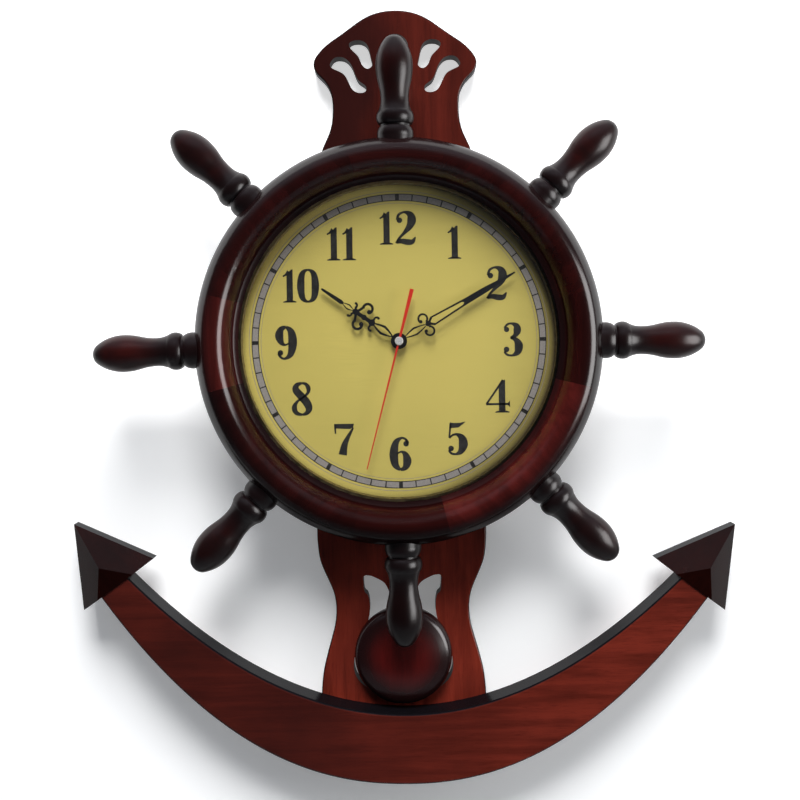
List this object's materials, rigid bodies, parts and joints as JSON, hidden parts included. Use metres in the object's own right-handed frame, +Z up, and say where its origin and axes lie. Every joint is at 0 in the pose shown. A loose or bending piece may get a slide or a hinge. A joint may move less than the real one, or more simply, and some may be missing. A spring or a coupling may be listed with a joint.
{
  "type": "pendulum wall clock",
  "caption": "Wall clock shaped as a ship's wheel with spoke handles on a fretted back board, with a swinging pendulum and an anchor foot.",
  "frame": {"origin": "middle of the keyhole hanger's round entry, on the wall plane", "axes": "+Z up along the back board, +Y into the wall, +X to the right of someone who faces the dial"},
  "size_m": [0.539, 0.074, 0.6313],
  "materials": {
    "board_wood": "mahogany stain under semi-gloss lacquer",
    "band_wood": "mahogany stain under semi-gloss lacquer",
    "rim_wood": "dark stain under semi-gloss lacquer",
    "handle_wood": "dark stain under semi-gloss lacquer",
    "bob_wood": "red stain under gloss lacquer",
    "plain_wood": "unfinished",
    "dowel_wood": "unfinished",
    "screw_steel": "zinc plated",
    "plate_steel": "brass plated",
    "clear_glass": "polished",
    "dial_metal": "brushed gold tone",
    "backing_board": "fibreboard, painted dark at the back",
    "ring_plastic": "dark bronze",
    "case_plastic": "moulded",
    "gear_plastic": "moulded",
    "brass": "turned",
    "battery_case": "plain sleeve",
    "spring_metal": "nickel plated",
    "iron": "annealed sheet",
    "coil_wire": "enamelled winding",
    "board_green": "circuit board",
    "hand_black": "satin black",
    "hand_red": "satin red",
    "magnet": "nickel plated"
  },
  "bodies": {
    "clock": {"back_board": "board_wood", "anchor_band": "band_wood", "fluke_left": "band_wood", "fluke_right": "band_wood", "fluke_dowels": "dowel_wood", "hanger_plate": "plate_steel", "hanger_screws": "screw_steel", "spacer_blocks": "plain_wood", "rim_screws": "screw_steel", "band_screws": "screw_steel", "glass": "clear_glass", "spacer_ring": "ring_plastic", "dial_plate": "dial_metal", "dial_backing": "backing_board", "dial_retainers": "plain_wood", "movement_front": "case_plastic", "movement_cover": "case_plastic", "train_plate": "gear_plastic", "battery": "battery_case", "battery_contacts": "spring_metal", "motor_stator": "iron", "motor_coil": "coil_wire", "circuit_board": "board_green", "drive_coil": "coil_wire", "fixing_washer": "spring_metal", "fixing_nut": "brass", "pendulum_pin": "spring_metal", "rim_block_1": "rim_wood", "rim_block_2": "rim_wood", "rim_block_3": "rim_wood", "rim_block_4": "rim_wood", "rim_block_5": "rim_wood", "rim_block_6": "rim_wood", "rim_block_7": "rim_wood", "rim_block_8": "rim_wood", "handle_1": "handle_wood", "handle_2": "handle_wood", "handle_3": "handle_wood", "handle_4": "handle_wood", "handle_5": "handle_wood", "handle_6": "handle_wood", "handle_7": "handle_wood", "handle_8": "handle_wood"},
    "minute": {"minute_cannon": "gear_plastic", "minute_hand": "hand_black"},
    "hour": {"hour_wheel": "gear_plastic", "hour_hand": "hand_black"},
    "motion": {"motion_wheel": "gear_plastic"},
    "knob": {"setting_knob": "gear_plastic"},
    "third": {"third_wheel": "gear_plastic"},
    "second": {"second_arbor": "spring_metal", "second_hand": "hand_red", "second_cap": "spring_metal"},
    "pendulum": {"pendulum_arm": "case_plastic", "pendulum_magnet": "magnet", "pendulum_rod": "brass", "pendulum_bob": "bob_wood", "bob_clip": "plate_steel"}
  },
  "joints": [
    {"name": "minute_spin", "type": "hinge", "parent": "clock", "child": "minute", "pos_m": [0, -0.035, -0.196], "axis": [0, 1, 0], "continuous": true},
    {"name": "hour_spin", "type": "hinge", "parent": "clock", "child": "hour", "pos_m": [0, -0.035, -0.196], "axis": [0, 1, 0], "continuous": true},
    {"name": "motion_spin", "type": "hinge", "parent": "clock", "child": "motion", "pos_m": [-0.0096, -0.035, -0.196], "axis": [0, 1, 0], "continuous": true},
    {"name": "knob_spin", "type": "hinge", "parent": "clock", "child": "knob", "pos_m": [-0.0192, -0.035, -0.196], "axis": [0, 1, 0], "continuous": true},
    {"name": "third_spin", "type": "hinge", "parent": "clock", "child": "third", "pos_m": [0.0108, -0.035, -0.196], "axis": [0, 1, 0], "continuous": true},
    {"name": "second_spin", "type": "hinge", "parent": "clock", "child": "second", "pos_m": [0, -0.035, -0.196], "axis": [0, 1, 0], "continuous": true},
    {"name": "pendulum_swing", "type": "hinge", "parent": "clock", "child": "pendulum", "pos_m": [0, -0.0187, -0.221], "axis": [0, 1, 0], "range_deg": [-5, 5]}
  ],
  "couplings": [
    {"joint": "hour_spin", "follows": "minute_spin", "ratio": 0.083333},
    {"joint": "motion_spin", "follows": "minute_spin", "ratio": -0.33333},
    {"joint": "knob_spin", "follows": "minute_spin", "ratio": 1},
    {"joint": "third_spin", "follows": "minute_spin", "ratio": -8},
    {"joint": "second_spin", "follows": "minute_spin", "ratio": 60}
  ]
}
